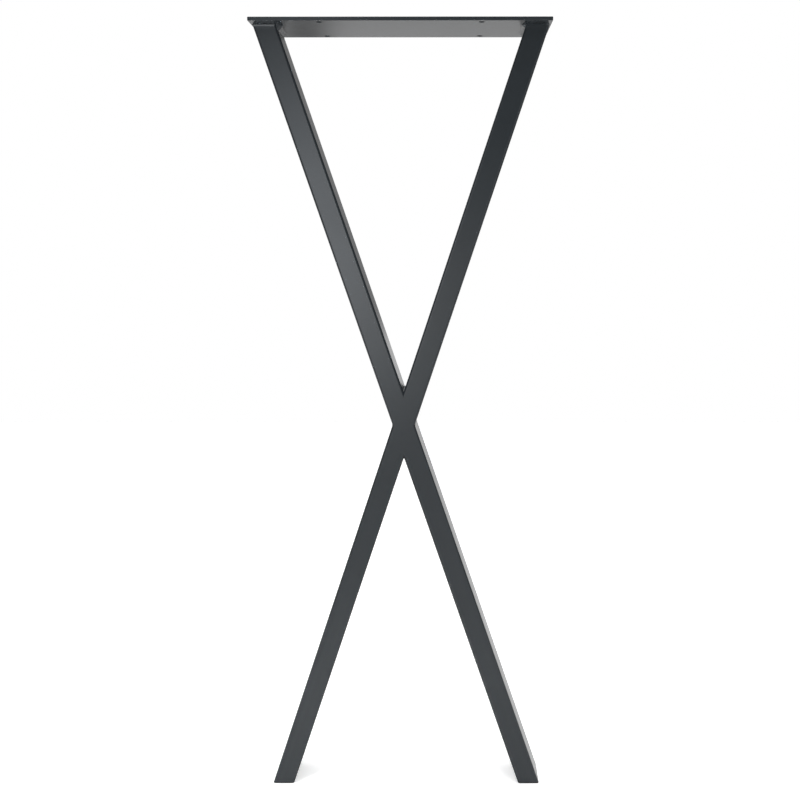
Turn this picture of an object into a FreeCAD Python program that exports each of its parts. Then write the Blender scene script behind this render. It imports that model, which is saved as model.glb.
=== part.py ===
import FreeCAD, Part
import math
import os

# An x shaped leg for a high table, welded from rectangular steel tube.
# One tube is whole and runs from the upper left to the lower right. The other is in two halves, each mitred
# against the whole one, so that all the front faces are flush. A drilled plate joins the tube tops, and
# plastic plugs close the tubes at the floor.
# X runs across the leg, Y through its depth and Z up. The origin is on the floor, below the plate's middle.
# All sizes are in millimetres.

# Overall
overall_height = 1100.0
foot_end_margin = 2.0  # from the outer corners of the feet out to below the plate's ends

# Rectangular tube
tube_depth = 60.0
tube_face = 30.0
tube_wall = 2.0
tube_corner_radius = 3.0
least_corner_radius = 0.2  # for a bore whose wall is as thick as the outer corner is round

# Top plate
plate_length = 404.0
plate_width = 110.0
plate_thickness = 5.0
plate_corner_radius = 2.0
plate_edge_chamfer = 0.5
plate_end_margin = 2.0  # from the tubes' outer corners to the plate's ends

# Screw holes
hole_diameter = 8.0
hole_spacing = 216.0  # along the plate
hole_edge_distance = 10.0  # from the plate's long edges

# Welds
inner_weld_leg = 5.0  # along the inner side of a tube's top
rim_weld_leg = 2.0  # on the front and the back of a tube's top
valley_weld_leg = 2.0  # in the narrow angle above and below the crossing
notch_weld_leg = 2.0  # in the wide angle beside the crossing

# Foot plugs
plug_flange = 2.0
plug_edge_chamfer = 0.6
plug_insert_length = 18.0
plug_wall = 2.0
plug_clearance = 0.4  # between the insert and the tube's bore
fin_count = 3
fin_thickness = 0.8

# Worked out from the sizes above
plate_underside = overall_height - plate_thickness
top_spread = plate_length - 2 * plate_end_margin  # over the tubes' outer corners
foot_spread = plate_length - 2 * foot_end_margin
mean_spread = (top_spread + foot_spread) / 2
corner_to_corner = math.hypot(mean_spread, plate_underside)  # a tube's long diagonal
lean = math.acos(tube_face / corner_to_corner) - math.atan2(plate_underside, mean_spread)
level_face = tube_face / math.cos(lean)  # width of a tube where it is cut level
crossing_height = plate_underside * (foot_spread - level_face) / (2 * (mean_spread - level_face))
bore_face = tube_face - 2 * tube_wall
bore_depth = tube_depth - 2 * tube_wall
bore_corner_radius = max(tube_corner_radius - tube_wall, least_corner_radius)
reach = overall_height + plate_length  # past the ends of every tube
same_level = 0.001  # heights closer than this are equal

across = FreeCAD.Vector(1, 0, 0)
through = FreeCAD.Vector(0, 1, 0)
up = FreeCAD.Vector(0, 0, 1)
crossing = up * crossing_height
left_turn = FreeCAD.Rotation(through, -math.degrees(lean))
right_turn = FreeCAD.Rotation(through, math.degrees(lean))


def centred_box(x_low, x_high, depth, z_low, z_high):
    corner = FreeCAD.Vector(x_low, -depth / 2, z_low)
    return Part.makeBox(x_high - x_low, depth, z_high - z_low, corner)


def leaning(shape, turn):
    # Upright shapes are drawn about the crossing, then turned to a tube's lean
    placed = shape.copy()
    placed.Placement = FreeCAD.Placement(crossing, turn)
    return placed


def rounded_bar(face, depth, radius, turn):
    bar = centred_box(-face / 2, face / 2, depth, -reach, reach)
    long_edges = [edge for edge in bar.Edges if edge.Length > reach]
    return leaning(bar.makeFillet(radius, long_edges), turn)


def tube_outside(turn):
    return rounded_bar(tube_face, tube_depth, tube_corner_radius, turn)


def level_slab(z_low, z_high):
    return centred_box(-reach, reach, reach, z_low, z_high)


def level_edges(shape, height):
    def is_level(edge):
        return all(abs(vertex.Z - height) < same_level for vertex in edge.Vertexes)
    return [edge for edge in shape.Edges if is_level(edge)]


def hollow_tube(turn):
    bore = rounded_bar(bore_face, bore_depth, bore_corner_radius, turn)
    return tube_outside(turn).cut(bore).common(level_slab(plug_flange, plate_underside))


def short_tube(x_low, x_high):
    # The half of the crossing tube on one side of the whole tube, cut along that tube's flat side
    side = leaning(centred_box(x_low, x_high, reach, -reach, reach), left_turn)
    return hollow_tube(right_turn).common(side)


def top_plate():
    half = plate_length / 2
    plate = centred_box(-half, half, plate_width, plate_underside, overall_height)
    rims = level_edges(plate, plate_underside) + level_edges(plate, overall_height)
    upright_edges = [edge for edge in plate.Edges if not any(edge.isSame(rim) for rim in rims)]
    plate = plate.makeFillet(plate_corner_radius, upright_edges)
    rims = level_edges(plate, plate_underside) + level_edges(plate, overall_height)
    plate = plate.makeChamfer(min(plate_edge_chamfer, plate_thickness / 3), rims)
    hole_row = plate_width / 2 - hole_edge_distance
    for x in (-hole_spacing / 2, hole_spacing / 2):
        for y in (-hole_row, hole_row):
            foot = FreeCAD.Vector(x, y, plate_underside)
            plate = plate.cut(Part.makeCylinder(hole_diameter / 2, plate_thickness, foot))
    return plate


def angle_bead(corner, first_way, second_way, leg):
    # A straight run in an inside corner between two flat sides
    run = tube_depth - 2 * tube_corner_radius
    start = corner - through * (run / 2)
    outline = Part.makePolygon([start, start + first_way * leg, start + second_way * leg, start])
    return Part.Face(outline).extrude(through * run)


def plate_weld():
    # A thin fillet round the left tube's top, left off the outer side, and a main run on the inner side
    margin = 4 * rim_weld_leg  # room for the fillet on a bed of its own, and on a stub of the tube
    stub = tube_outside(left_turn).common(level_slab(plate_underside - margin, plate_underside))
    tube_low = -top_spread / 2
    tube_high = tube_low + level_face
    bed_depth = tube_depth + 2 * margin
    bed = centred_box(tube_low - margin, tube_high + margin, bed_depth, plate_underside, overall_height)
    joined = bed.fuse(stub).removeSplitter()
    bed_face = [face for face in joined.Faces if len(face.Wires) > 1][0]
    seams = [wire for wire in bed_face.Wires if not wire.isSame(bed_face.OuterWire)]
    rim = joined.makeChamfer(rim_weld_leg, seams[0].Edges).cut(joined)
    inner_side = leaning(centred_box(-tube_face / 2, reach, reach, -reach, reach), left_turn)
    corner = FreeCAD.Vector(tube_high, 0, plate_underside)
    main_run = angle_bead(corner, across, left_turn.multVec(up) * -1, inner_weld_leg)
    return rim.common(inner_side).fuse(main_run).removeSplitter()


def cross_weld():
    # Front and back runs fill the groove at the whole tube's round corners and are ground flush
    half = tube_face / 2
    corners = centred_box(half - tube_corner_radius, half, tube_depth, -reach, reach)
    grooves = leaning(corners, left_turn).cut(tube_outside(left_turn)).common(tube_outside(right_turn))
    up_left = left_turn.multVec(up)
    up_right = right_turn.multVec(up)
    valley = crossing + up * (half / math.sin(lean))
    notch = crossing + across * (half / math.cos(lean))
    valley_bead = angle_bead(valley, up_left, up_right, valley_weld_leg)
    notch_bead = angle_bead(notch, up_right, up_left * -1, notch_weld_leg)
    return Part.Compound(grooves.Solids + valley_bead.Solids + notch_bead.Solids)


def foot_plug(turn):
    # A flange under the tube's end and a hollow insert, with thin fins that grip the bore
    flange = tube_outside(turn).common(level_slab(0, plug_flange)).Solids[0]
    flange = flange.makeChamfer(min(plug_edge_chamfer, plug_flange / 3), level_edges(flange, 0))
    insert_face = bore_face - 2 * plug_clearance
    insert_depth = bore_depth - 2 * plug_clearance
    insert_top = plug_flange + plug_insert_length
    insert = rounded_bar(insert_face, insert_depth, bore_corner_radius, turn)
    hollow_face = insert_face - 2 * plug_wall
    hollow_depth = insert_depth - 2 * plug_wall
    hollow = rounded_bar(hollow_face, hollow_depth, bore_corner_radius, turn)
    plug = flange.fuse(insert.cut(hollow).common(level_slab(plug_flange, insert_top)))
    fin = rounded_bar(bore_face, bore_depth, bore_corner_radius, turn).cut(hollow)
    for number in range(1, fin_count + 1):
        fin_low = plug_flange + number * plug_insert_length / (fin_count + 1)
        plug = plug.fuse(fin.common(level_slab(fin_low, fin_low + fin_thickness)))
    return plug.removeSplitter()


def half_turned(shape):
    turned = shape.copy()
    turned.rotate(crossing, through, 180)
    return turned


left_bead = plate_weld()
upper_bead = cross_weld()

pieces = {
    "long_leg_tube": hollow_tube(left_turn),
    "upper_short_tube": short_tube(tube_face / 2, reach),
    "lower_short_tube": short_tube(-reach, -tube_face / 2),
    "top_plate": top_plate(),
    "left_plate_weld": left_bead,
    "right_plate_weld": left_bead.mirror(FreeCAD.Vector(0, 0, 0), across),
    "upper_cross_weld": upper_bead,
    "lower_cross_weld": half_turned(upper_bead),
    "left_foot_plug": foot_plug(right_turn),
    "right_foot_plug": foot_plug(left_turn),
}

os.makedirs("parts", exist_ok=True)
for name, shape in pieces.items():
    shape.exportStep("parts/" + name + ".step")
    print(name, len(shape.Solids), "solids", round(shape.Volume), "mm3")
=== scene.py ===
import math

import bmesh
import bpy
from mathutils import Matrix, Vector


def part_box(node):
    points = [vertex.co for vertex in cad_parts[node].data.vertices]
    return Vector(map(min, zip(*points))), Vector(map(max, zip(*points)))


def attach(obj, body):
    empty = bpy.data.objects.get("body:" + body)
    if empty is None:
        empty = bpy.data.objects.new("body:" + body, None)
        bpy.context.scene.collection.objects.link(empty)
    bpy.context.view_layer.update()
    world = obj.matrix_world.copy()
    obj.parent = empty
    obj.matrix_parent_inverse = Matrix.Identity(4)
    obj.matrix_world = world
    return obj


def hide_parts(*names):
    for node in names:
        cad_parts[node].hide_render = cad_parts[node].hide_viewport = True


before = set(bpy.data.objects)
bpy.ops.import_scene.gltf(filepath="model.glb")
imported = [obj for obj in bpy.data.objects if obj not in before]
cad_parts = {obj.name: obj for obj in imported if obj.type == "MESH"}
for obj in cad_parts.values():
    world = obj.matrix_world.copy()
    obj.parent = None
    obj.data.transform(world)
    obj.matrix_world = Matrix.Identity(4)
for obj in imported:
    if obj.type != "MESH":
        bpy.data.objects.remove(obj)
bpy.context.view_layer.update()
scene = bpy.context.scene
print("frame loaded:", len(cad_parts), "nodes")


# camera, fitted to the edges of the tubes and the plate

cameraSet = {
    "focalPixels": 986.78,
    "framePixels": 800,
    "sensorWidth": 36,
    "clip": (0.01, 100),
    "place": (0.06468, -1.41217, 0.80521),
    "pitch": -0.14585,  # looking slightly down
    "turn": 0.0025,
    "roll": 0.00024,
    "shift": (-0.0583, -0.0157),
}


def makeCamera(setUp):
    data = bpy.data.cameras.new("photo_camera")
    data.sensor_width = setUp["sensorWidth"]
    data.lens = setUp["focalPixels"] * setUp["sensorWidth"] / setUp["framePixels"]
    data.shift_x, data.shift_y = setUp["shift"]
    data.clip_start, data.clip_end = setUp["clip"]
    camera = bpy.data.objects.new("photo_camera", data)
    scene.collection.objects.link(camera)
    turn = Matrix.Rotation(setUp["turn"], 4, "Z")
    pitch = Matrix.Rotation(math.pi / 2 + setUp["pitch"], 4, "X")
    roll = Matrix.Rotation(-setUp["roll"], 4, "Z")
    camera.matrix_world = Matrix.Translation(setUp["place"]) @ turn @ pitch @ roll
    scene.camera = camera


makeCamera(cameraSet)
print("camera set")


# node helpers for the materials, the weld runs and the room

def mathNode(tree, operation, first, second=None):
    node = tree.nodes.new("ShaderNodeMath")
    node.operation = operation
    for socket, value in zip(node.inputs, (first, second)):
        if isinstance(value, (int, float)):
            socket.default_value = value
        elif value is not None:
            tree.links.new(value, socket)
    return node.outputs[0]


def newMaterial(name):
    material = bpy.data.materials.new(name)
    material.use_nodes = True
    nodes = material.node_tree.nodes
    nodes.clear()
    return material, nodes, material.node_tree.links


def noiseAt(nodes, links, coordinate, scale, detail):
    noise = nodes.new("ShaderNodeTexNoise")
    noise.inputs["Scale"].default_value = scale
    noise.inputs["Detail"].default_value = detail
    links.new(coordinate, noise.inputs["Vector"])
    return noise.outputs["Fac"]


def spread(nodes, links, value, low, high, fromLow=0.3, fromHigh=0.7):
    # noise lies mostly between 0.3 and 0.7
    ranged = nodes.new("ShaderNodeMapRange")
    ranged.inputs["From Min"].default_value = fromLow
    ranged.inputs["From Max"].default_value = fromHigh
    ranged.inputs["To Min"].default_value = low
    ranged.inputs["To Max"].default_value = high
    links.new(value, ranged.inputs["Value"])
    return ranged.outputs["Result"]


def blendColours(nodes, links, factor, first, second):
    mix = nodes.new("ShaderNodeMix")
    mix.data_type = "RGBA"
    mix.inputs["A"].default_value = (*first, 1)
    mix.inputs["B"].default_value = (*second, 1)
    links.new(factor, mix.inputs["Factor"])
    return mix.outputs["Result"]


def bumped(nodes, links, height, depth, under=None):
    bump = nodes.new("ShaderNodeBump")
    bump.inputs["Strength"].default_value = 1
    bump.inputs["Distance"].default_value = depth
    links.new(height, bump.inputs["Height"])
    if under:
        links.new(under, bump.inputs["Normal"])
    return bump.outputs["Normal"]


# satin powder coat: anthracite, with cloudy film thickness and a fine orange peel

powderSet = {
    "thinColour": (0.0245, 0.0310, 0.0365),
    "thickColour": (0.0285, 0.0355, 0.0415),
    "roughness": (0.15, 0.19),
    "cloudScale": 14,
    "cloudDetail": 4,
    "peelScale": 420,
    "peelDetail": 2,
    "peelDepth": 0.00002,
    "grainScale": 2200,
    "grainDetail": 1,
    "grainDepth": 0.000006,
}


def makePowderCoat(setUp):
    material, nodes, links = newMaterial("satinPowderCoat")
    place = nodes.new("ShaderNodeTexCoord").outputs["Object"]
    cloud = noiseAt(nodes, links, place, setUp["cloudScale"], setUp["cloudDetail"])
    peel = noiseAt(nodes, links, place, setUp["peelScale"], setUp["peelDetail"])
    grain = noiseAt(nodes, links, place, setUp["grainScale"], setUp["grainDetail"])
    shader = nodes.new("ShaderNodeBsdfPrincipled")
    colour = blendColours(nodes, links, cloud, setUp["thinColour"], setUp["thickColour"])
    links.new(colour, shader.inputs["Base Color"])
    links.new(spread(nodes, links, cloud, *setUp["roughness"]), shader.inputs["Roughness"])
    fine = bumped(nodes, links, grain, setUp["grainDepth"])
    normal = bumped(nodes, links, peel, setUp["peelDepth"], fine)
    links.new(normal, shader.inputs["Normal"])
    out = nodes.new("ShaderNodeOutputMaterial")
    links.new(shader.outputs["BSDF"], out.inputs["Surface"])
    return material


# matte plug plastic with a moulded grain

plugSet = {
    "lowColour": (0.012, 0.0125, 0.013),
    "highColour": (0.018, 0.0185, 0.019),
    "roughness": (0.52, 0.62),
    "grainScale": 900,
    "grainDetail": 3,
    "grainDepth": 0.00004,
}


def makePlugPlastic(setUp):
    material, nodes, links = newMaterial("plugPlastic")
    place = nodes.new("ShaderNodeTexCoord").outputs["Object"]
    grain = noiseAt(nodes, links, place, setUp["grainScale"], setUp["grainDetail"])
    shader = nodes.new("ShaderNodeBsdfPrincipled")
    colour = blendColours(nodes, links, grain, setUp["lowColour"], setUp["highColour"])
    links.new(colour, shader.inputs["Base Color"])
    links.new(spread(nodes, links, grain, *setUp["roughness"]), shader.inputs["Roughness"])
    links.new(bumped(nodes, links, grain, setUp["grainDepth"]), shader.inputs["Normal"])
    out = nodes.new("ShaderNodeOutputMaterial")
    links.new(shader.outputs["BSDF"], out.inputs["Surface"])
    return material


powderCoat = makePowderCoat(powderSet)
plugPlastic = makePlugPlastic(plugSet)
for name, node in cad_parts.items():
    node.data.materials.clear()
    node.data.materials.append(plugPlastic if name.endswith("foot_plug") else powderCoat)
print("finishes on the solids")


# weld runs between the tubes and the plate, swept along the inside corners and rippled like laid beads

weldSet = {
    # a face of 2 is flat and less is full; a lump is where the run was started
    "runs": {
        # thin fillets on the front and back of a tube's top
        "leftRim": {
            "plateLeg": 0.00045,
            "tubeLeg": 0.0020,
            "face": 2.0,
            "pitch": 0.0022,
            "height": 0.00001,
            "wander": 0.0,
            "lump": 0.0,
            "seed": 1.7,
        },
        "rightRim": {
            "plateLeg": 0.0030,
            "tubeLeg": 0.0016,
            "face": 2.0,
            "pitch": 0.0022,
            "height": 0.00006,
            "wander": 0.10,
            "lump": 0.0,
            "seed": 8.2,
        },
        # main runs on the inner sides: the left one lies coarse and full, the right one smooth
        "leftMain": {
            "plateLeg": 0.0060,
            "tubeLeg": 0.0060,
            "face": 1.4,
            "pitch": 0.0035,
            "height": 0.00030,
            "wander": 0.10,
            "lump": 0.55,
            "seed": 7.0,
        },
        "rightMain": {
            "plateLeg": 0.0058,
            "tubeLeg": 0.0042,
            "face": 1.5,
            "pitch": 0.0022,
            "height": 0.00005,
            "wander": 0.10,
            "lump": 0.0,
            "seed": 13.5,
        },
    },
    "innerLeg": 0.0050,  # of the solids
    "setBack": 0.001,  # of the main run's ends from the tube's front and back
    "spacing": 0.0003,
    "facePoints": 13,
    "cornerSteps": 8,
    "rippleBow": 0.55,
    "rippleMiddle": 0.4,  # of a ripple's height, where the face would be without it
    "wanderScale": 160.0,
    "wanderDetail": 2.0,
    "taper": 0.0014,
    "taperDepth": 0.75,
    "lumpLength": 0.016,
    "tubeDepth": 0.060,
    "tubeCorner": 0.003,
    "mergeGap": 0.000002,
}


def vectorNode(tree, operation, first, second):
    node = tree.nodes.new("ShaderNodeVectorMath")
    node.operation = operation
    tree.links.new(first, node.inputs[0])
    if operation == "SCALE":
        tree.links.new(second, node.inputs["Scale"])
    else:
        tree.links.new(second, node.inputs[1])
    return node.outputs["Vector"]


def captured(tree, geometry, name, kind, value):
    node = tree.nodes.new("GeometryNodeCaptureAttribute")
    node.capture_items.new(kind, name)
    tree.links.new(geometry, node.inputs["Geometry"])
    tree.links.new(value, node.inputs[1])
    return node.outputs["Geometry"], node.outputs[1]


def moved(tree, geometry, offset):
    node = tree.nodes.new("GeometryNodeSetPosition")
    tree.links.new(geometry, node.inputs["Geometry"])
    tree.links.new(offset, node.inputs["Offset"])
    return node.outputs["Geometry"]


def weldInputs(tree):
    sockets = tree.interface
    sockets.new_socket("Geometry", in_out="INPUT", socket_type="NodeSocketGeometry")
    sockets.new_socket("Leg One", in_out="INPUT", socket_type="NodeSocketVector")
    sockets.new_socket("Leg Two", in_out="INPUT", socket_type="NodeSocketVector")
    for name in ("Face Power", "Corner Radius", "Spacing", "Ripple Pitch", "Ripple Height", "Ripple Bow",
                 "Wander", "Taper", "Lump", "Lump Length", "Seed"):
        sockets.new_socket(name, in_out="INPUT", socket_type="NodeSocketFloat")
    sockets.new_socket("Face Points", in_out="INPUT", socket_type="NodeSocketInt")
    sockets.new_socket("Coat", in_out="INPUT", socket_type="NodeSocketMaterial")
    sockets.new_socket("Geometry", in_out="OUTPUT", socket_type="NodeSocketGeometry")
    return tree.nodes.new("NodeGroupInput").outputs


def weldRail(tree, given):
    # the path, rounded at the tube's corners and divided evenly
    nodes = tree.nodes
    links = tree.links
    path = nodes.new("GeometryNodeMeshToCurve")
    links.new(given["Geometry"], path.inputs["Mesh"])
    rounded = nodes.new("GeometryNodeFilletCurve")
    rounded.mode = "POLY"
    rounded.inputs["Count"].default_value = weldSet["cornerSteps"]
    rounded.inputs["Limit Radius"].default_value = True
    links.new(path.outputs["Curve"], rounded.inputs["Curve"])
    links.new(given["Corner Radius"], rounded.inputs["Radius"])
    even = nodes.new("GeometryNodeResampleCurve")
    even.mode = "LENGTH"
    links.new(rounded.outputs["Curve"], even.inputs["Curve"])
    links.new(given["Spacing"], even.inputs["Length"])
    upright = nodes.new("GeometryNodeSetCurveNormal")
    upright.mode = "Z_UP"
    links.new(even.outputs["Curve"], upright.inputs["Curve"])
    return upright.outputs["Curve"]


def weldSection(tree, given):
    # two legs joined by a face, and a corner point
    nodes = tree.nodes
    links = tree.links
    ring = nodes.new("GeometryNodeCurvePrimitiveCircle")
    links.new(mathNode(tree, "ADD", given["Face Points"], 1), ring.inputs["Resolution"])
    index = nodes.new("GeometryNodeInputIndex").outputs[0]
    share = mathNode(tree, "DIVIDE", index, mathNode(tree, "SUBTRACT", given["Face Points"], 1))
    angle = mathNode(tree, "MULTIPLY", mathNode(tree, "MINIMUM", share, 1.0), math.pi / 2)
    legs = []
    for leg, wave in (("Leg One", "COSINE"), ("Leg Two", "SINE")):
        swing = mathNode(tree, "MAXIMUM", mathNode(tree, wave, angle), 0.0)
        reach = mathNode(tree, "POWER", swing, given["Face Power"])
        legs.append(vectorNode(tree, "SCALE", given[leg], reach))
    isFace = mathNode(tree, "LESS_THAN", index, mathNode(tree, "SUBTRACT", given["Face Points"], 0.5))
    shaped = nodes.new("GeometryNodeSetPosition")
    links.new(ring.outputs["Curve"], shaped.inputs["Geometry"])
    links.new(vectorNode(tree, "SCALE", vectorNode(tree, "ADD", *legs), isFace), shaped.inputs["Position"])
    arch = mathNode(tree, "SINE", mathNode(tree, "MULTIPLY", share, math.pi))
    crown = mathNode(tree, "MULTIPLY", arch, isFace)
    return captured(tree, shaped.outputs["Geometry"], "full", "FLOAT", crown)


def eased(tree, value, length):
    # a smooth step from the start of a run, or from its ends, over a length
    step = tree.nodes.new("ShaderNodeMapRange")
    step.interpolation_type = "SMOOTHSTEP"
    step.inputs["To Max"].default_value = 0.0
    tree.links.new(value, step.inputs["Value"])
    tree.links.new(length, step.inputs["From Max"])
    return step


def weldGrowth(tree, given, along, ending):
    # wandering toes, tapered ends and a lump at the start
    links = tree.links
    noise = tree.nodes.new("ShaderNodeTexNoise")
    noise.noise_dimensions = "2D"
    noise.inputs["Scale"].default_value = 1.0
    noise.inputs["Detail"].default_value = weldSet["wanderDetail"]
    sample = tree.nodes.new("ShaderNodeCombineXYZ")
    links.new(mathNode(tree, "MULTIPLY", along, weldSet["wanderScale"]), sample.inputs["X"])
    links.new(given["Seed"], sample.inputs["Y"])
    links.new(sample.outputs[0], noise.inputs["Vector"])
    centred = mathNode(tree, "SUBTRACT", noise.outputs["Fac"], 0.5)
    swing = mathNode(tree, "MULTIPLY", centred, given["Wander"])
    ended = eased(tree, ending, given["Taper"])
    ended.inputs["To Min"].default_value = -weldSet["taperDepth"]
    lumped = eased(tree, along, given["Lump Length"])
    links.new(given["Lump"], lumped.inputs["To Min"])
    size = mathNode(tree, "ADD", swing, ended.outputs["Result"])
    return mathNode(tree, "ADD", size, lumped.outputs["Result"])


def weldRipple(tree, given, along, full):
    # rounded steps, bowed along the run in the middle of the face
    bow = mathNode(tree, "MULTIPLY", full, given["Ripple Bow"])
    step = mathNode(tree, "ADD", mathNode(tree, "DIVIDE", along, given["Ripple Pitch"]), bow)
    doubled = mathNode(tree, "MULTIPLY", mathNode(tree, "FRACT", step), 2.0)
    saw = mathNode(tree, "SUBTRACT", doubled, 1.0)
    bump = mathNode(tree, "SUBTRACT", weldSet["rippleMiddle"], mathNode(tree, "MULTIPLY", saw, saw))
    return mathNode(tree, "MULTIPLY", mathNode(tree, "MULTIPLY", bump, full), given["Ripple Height"])


def buildWeldTree():
    tree = bpy.data.node_groups.new("weldRun", "GeometryNodeTree")
    nodes = tree.nodes
    links = tree.links
    given = weldInputs(tree)
    position = nodes.new("GeometryNodeInputPosition").outputs[0]
    fromStart = nodes.new("GeometryNodeSplineParameter").outputs["Length"]
    whole = nodes.new("GeometryNodeSplineLength").outputs["Length"]
    nearest = mathNode(tree, "MINIMUM", fromStart, mathNode(tree, "SUBTRACT", whole, fromStart))
    rail, along = captured(tree, weldRail(tree, given), "along", "FLOAT", fromStart)
    rail, ending = captured(tree, rail, "ending", "FLOAT", nearest)
    rail, middle = captured(tree, rail, "middle", "VECTOR", position)
    profile, full = weldSection(tree, given)
    swept = nodes.new("GeometryNodeCurveToMesh")
    swept.inputs["Fill Caps"].default_value = True
    links.new(rail, swept.inputs["Curve"])
    links.new(profile, swept.inputs["Profile Curve"])

    reachOut = vectorNode(tree, "SUBTRACT", position, middle)
    growth = vectorNode(tree, "SCALE", reachOut, weldGrowth(tree, given, along, ending))
    resized = moved(tree, swept.outputs["Mesh"], growth)
    outward = nodes.new("GeometryNodeInputNormal").outputs[0]
    lift = vectorNode(tree, "SCALE", outward, weldRipple(tree, given, along, full))
    rippled = moved(tree, resized, lift)

    smooth = nodes.new("GeometryNodeSetShadeSmooth")
    links.new(rippled, smooth.inputs["Geometry"])
    real = nodes.new("GeometryNodeRealizeInstances")
    links.new(smooth.outputs["Geometry"], real.inputs["Geometry"])
    coat = nodes.new("GeometryNodeSetMaterial")
    links.new(real.outputs["Geometry"], coat.inputs["Geometry"])
    links.new(given["Coat"], coat.inputs["Material"])
    out = nodes.new("NodeGroupOutput")
    links.new(coat.outputs["Geometry"], out.inputs["Geometry"])
    return tree


def weldMesh(name, tree, points, kind, cornerRadius):
    run = weldSet["runs"][kind]
    line = bpy.data.meshes.new(name + "_path")
    line.from_pydata(points, [(i, i + 1) for i in range(len(points) - 1)], [])
    guide = bpy.data.objects.new(name + "_path", line)
    scene.collection.objects.link(guide)
    modifier = guide.modifiers.new("weldRun", "NODES")
    modifier.node_group = tree
    values = {
        "Leg One": (run["plateLeg"], 0, 0),
        "Leg Two": (0, run["tubeLeg"], 0),
        "Face Power": run["face"],
        "Corner Radius": cornerRadius,
        "Spacing": weldSet["spacing"],
        "Ripple Pitch": run["pitch"],
        "Ripple Height": run["height"],
        "Ripple Bow": weldSet["rippleBow"],
        "Wander": run["wander"],
        "Taper": weldSet["taper"],
        "Lump": run["lump"],
        "Lump Length": weldSet["lumpLength"],
        "Seed": run["seed"],
        "Face Points": weldSet["facePoints"],
        "Coat": powderCoat,
    }
    for socket in tree.interface.items_tree:
        if socket.item_type == "SOCKET" and socket.in_out == "INPUT" and socket.name in values:
            modifier[socket.identifier] = values[socket.name]
    guide.update_tag()
    bpy.context.view_layer.update()
    ready = guide.evaluated_get(bpy.context.evaluated_depsgraph_get())
    mesh = bpy.data.meshes.new_from_object(ready)
    guide.modifiers.remove(modifier)
    bpy.data.objects.remove(guide)
    return mesh


def faceOutwards(mesh):
    run = bmesh.new()
    run.from_mesh(mesh)
    bmesh.ops.remove_doubles(run, verts=run.verts, dist=weldSet["mergeGap"])
    bmesh.ops.recalc_face_normals(run, faces=run.faces)
    if run.calc_volume(signed=True) < 0:
        bmesh.ops.reverse_faces(run, faces=run.faces)
    run.to_mesh(mesh)
    run.free()


def joinedPiece(name, meshes):
    whole = bmesh.new()
    for mesh in meshes:
        faceOutwards(mesh)
        whole.from_mesh(mesh)
    mesh = bpy.data.meshes.new(name)
    whole.to_mesh(mesh)
    whole.free()
    mesh.materials.append(powderCoat)
    piece = bpy.data.objects.new(name, mesh)
    scene.collection.objects.link(piece)
    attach(piece, "root")
    return piece


def plateWeld(side, tree):
    low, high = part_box(side + "_plate_weld")
    way = 1 if side == "left" else -1
    outer = low.x if side == "left" else high.x
    inner = (high.x if side == "left" else low.x) - way * weldSet["innerLeg"]
    half = weldSet["tubeDepth"] / 2
    end = half - weldSet["setBack"]
    top = high.z
    around = [(outer, -half, top), (inner, -half, top), (inner, half, top), (outer, half, top)]
    straight = [(inner, -end, top), (inner, end, top)]
    if side == "right":
        around.reverse()
        straight.reverse()
    runs = [
        weldMesh(side + "_rim", tree, around, side + "Rim", weldSet["tubeCorner"]),
        weldMesh(side + "_main", tree, straight, side + "Main", 0.0),
    ]
    piece = joinedPiece(side + "_plate_bead", runs)
    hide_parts(side + "_plate_weld")


weldTree = buildWeldTree()
plateWeld("left", weldTree)
plateWeld("right", weldTree)
print("weld runs made")


# floor

floorSet = {
    "half": 3.0,
    "drop": 0.0002,
    "colour": (0.80, 0.80, 0.80),
    "glowSeen": 0.62,  # lifts the floor to white, apart from the shadow at the feet
    "glowMirrored": 0.20,  # the same floor, mirrored in the coat
}


def seenDirectly(tree, path):
    return mathNode(tree, "MAXIMUM", path.outputs["Is Camera Ray"], path.outputs["Is Transmission Ray"])


def makeFloor(setUp):
    half = setUp["half"]
    corners = [(-half, -half), (half, -half), (half, half), (-half, half)]
    mesh = bpy.data.meshes.new("floor")
    mesh.from_pydata([(x, y, -setUp["drop"]) for x, y in corners], [], [(0, 1, 2, 3)])
    material, nodes, links = newMaterial("paleFloor")
    tree = material.node_tree
    diffuse = nodes.new("ShaderNodeBsdfDiffuse")
    diffuse.inputs["Color"].default_value = (*setUp["colour"], 1)
    path = nodes.new("ShaderNodeLightPath")
    seen = mathNode(tree, "MULTIPLY", seenDirectly(tree, path), setUp["glowSeen"])
    mirrored = mathNode(tree, "MULTIPLY", path.outputs["Is Glossy Ray"], setUp["glowMirrored"])
    glow = nodes.new("ShaderNodeEmission")
    links.new(mathNode(tree, "ADD", seen, mirrored), glow.inputs["Strength"])
    both = nodes.new("ShaderNodeAddShader")
    links.new(diffuse.outputs[0], both.inputs[0])
    links.new(glow.outputs[0], both.inputs[1])
    out = nodes.new("ShaderNodeOutputMaterial")
    links.new(both.outputs[0], out.inputs["Surface"])
    mesh.materials.append(material)
    floor = bpy.data.objects.new("floor", mesh)
    scene.collection.objects.link(floor)


# the room: white where the camera sees it, pale ground and a dim wall in reflections

worldSet = {
    "backLow": (0.62, 0.86),  # ground behind the leg, near and far
    "backFar": (-0.20, -0.05),
    "backHigh": 0.29,  # wall behind the leg
    "backStep": (-0.040, -0.020),
    "shadeAt": -0.137,  # a shaded band behind the leg, to the left
    "shadeRange": (0.008, 0.034),
    "shadeLevel": 0.30,
    "frontLow": 1.00,  # ground and lit room on the camera's side
    "frontHigh": 0.20,
    "frontFade": (-0.045, 0.10),
    "side": 0.12,
    "backRange": (0.35, 0.75),  # where the sides pass into the back and the front
    "frontRange": (-0.75, -0.35),
}


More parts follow.
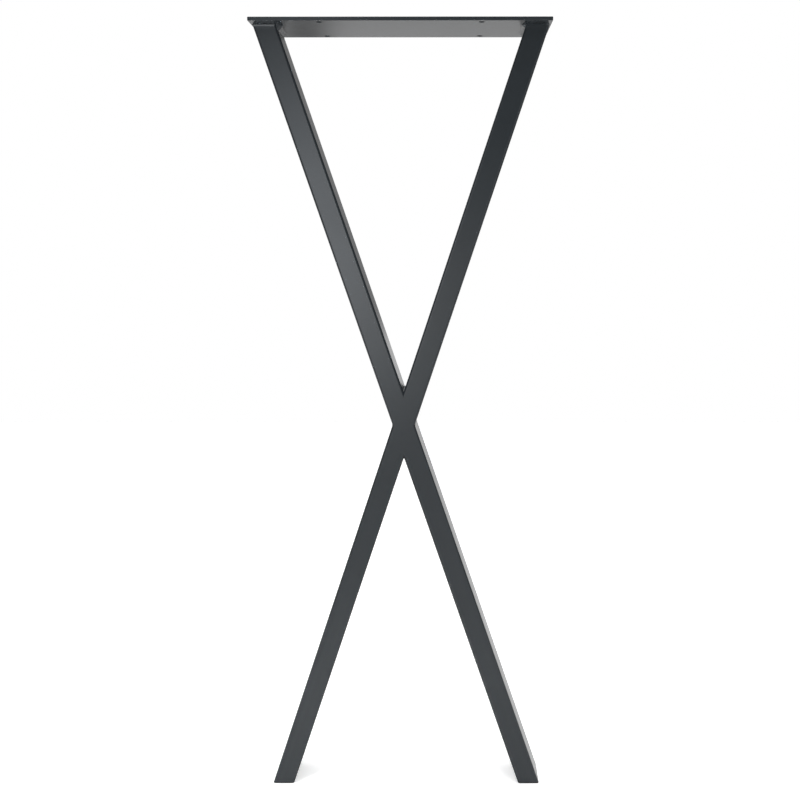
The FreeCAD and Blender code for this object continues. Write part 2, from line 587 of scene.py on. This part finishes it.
def mixLevels(tree, factor, first, second):
    mix = tree.nodes.new("ShaderNodeMix")
    mix.data_type = "FLOAT"
    tree.links.new(factor, mix.inputs["Factor"])
    for socket, value in (("A", first), ("B", second)):
        if isinstance(value, (int, float)):
            mix.inputs[socket].default_value = value
        else:
            tree.links.new(value, mix.inputs[socket])
    return mix.outputs["Result"]


def makeWorld(setUp):
    world = bpy.data.worlds.new("studio")
    world.use_nodes = True
    scene.world = world
    tree = world.node_tree
    nodes = tree.nodes
    links = tree.links
    nodes.clear()
    way = nodes.new("ShaderNodeSeparateXYZ")
    links.new(nodes.new("ShaderNodeTexCoord").outputs["Generated"], way.inputs[0])
    x, y, z = way.outputs
    ground = spread(nodes, links, z, *setUp["backLow"], *setUp["backFar"])
    isWall = spread(nodes, links, z, 0, 1, *setUp["backStep"])
    back = mixLevels(tree, isWall, ground, setUp["backHigh"])
    aside = mathNode(tree, "ABSOLUTE", mathNode(tree, "SUBTRACT", x, setUp["shadeAt"]))
    shade = spread(nodes, links, aside, setUp["shadeLevel"], 1, *setUp["shadeRange"])
    front = spread(nodes, links, z, setUp["frontLow"], setUp["frontHigh"], *setUp["frontFade"])
    isBack = spread(nodes, links, y, 0, 1, *setUp["backRange"])
    isFront = spread(nodes, links, y, 1, 0, *setUp["frontRange"])
    room = mixLevels(tree, isBack, setUp["side"], mathNode(tree, "MULTIPLY", back, shade))
    room = mixLevels(tree, isFront, room, front)
    path = nodes.new("ShaderNodeLightPath")
    level = mixLevels(tree, seenDirectly(tree, path), room, 1.0)
    background = nodes.new("ShaderNodeBackground")
    background.inputs["Color"].default_value = (1, 1, 1, 1)
    links.new(level, background.inputs["Strength"])
    out = nodes.new("ShaderNodeOutputWorld")
    links.new(background.outputs[0], out.inputs["Surface"])


# lamps

lampSet = {
    "side_softbox": {
        "place": (-0.28, -1.32, 0.85),
        "aim": (-0.1, 0, 0.84),
        "size": (0.76, 1.46),
        "roll": 0.14,
        "watts": 7.2,
        "colour": (0.965, 1.0, 1.045),  # slightly cool
        "soft": True,
    },
    "front_panel": {
        "place": (0.0, -2.6, 3.2),
        "aim": (0, 0, 0.5),
        "size": (2.2, 2.2),
        "watts": 12,
    },
    "overhead_panel": {
        "place": (0.0, 0.0, 5.0),
        "aim": (0, 0.0001, 0),  # a hair off straight down, so that its turn is settled
        "size": (4.0, 4.0),
        "watts": 185,
    },
    "floor_lamp": {
        "place": (-0.20, -0.75, 2.2),
        "aim": (-0.12, -0.33, 0),
        "size": (0.2, 0.2),
        "watts": 0.6,
        "spread": math.radians(26),
    },
}


def fadeToEdge(data):
    # brightest in the middle of the lamp, nothing at its rim
    middle = 0.5
    data.use_nodes = True
    tree = data.node_tree
    spot = tree.nodes.new("ShaderNodeNewGeometry").outputs["Parametric"]
    offset = tree.nodes.new("ShaderNodeVectorMath")
    offset.operation = "DISTANCE"
    offset.inputs[1].default_value = (middle, middle, 0)
    tree.links.new(spot, offset.inputs[0])
    fade = tree.nodes.new("ShaderNodeMapRange")
    fade.interpolation_type = "SMOOTHSTEP"
    fade.inputs["From Max"].default_value = middle
    fade.inputs["To Min"].default_value = 1
    fade.inputs["To Max"].default_value = 0
    tree.links.new(offset.outputs["Value"], fade.inputs["Value"])
    tree.links.new(fade.outputs["Result"], tree.nodes["Emission"].inputs["Strength"])


def makeLamp(name, setUp):
    soft = setUp.get("soft", False)
    data = bpy.data.lights.new(name, "AREA")
    data.shape = "ELLIPSE" if soft else "RECTANGLE"
    data.size, data.size_y = setUp["size"]
    data.energy = setUp["watts"]
    data.color = setUp.get("colour", (1, 1, 1))
    data.spread = setUp.get("spread", math.pi)
    if soft:
        fadeToEdge(data)
    lamp = bpy.data.objects.new(name, data)
    scene.collection.objects.link(lamp)
    lamp.location = setUp["place"]
    towards = Vector(setUp["aim"]) - Vector(setUp["place"])
    turn = towards.to_track_quat("-Z", "Y").to_matrix()
    lamp.rotation_euler = (turn @ Matrix.Rotation(setUp.get("roll", 0), 3, "Z")).to_euler()
    lamp.visible_camera = False


makeFloor(floorSet)
makeWorld(worldSet)
for name, setUp in lampSet.items():
    makeLamp(name, setUp)
scene.view_settings.view_transform = "Standard"
print("floor and light set")
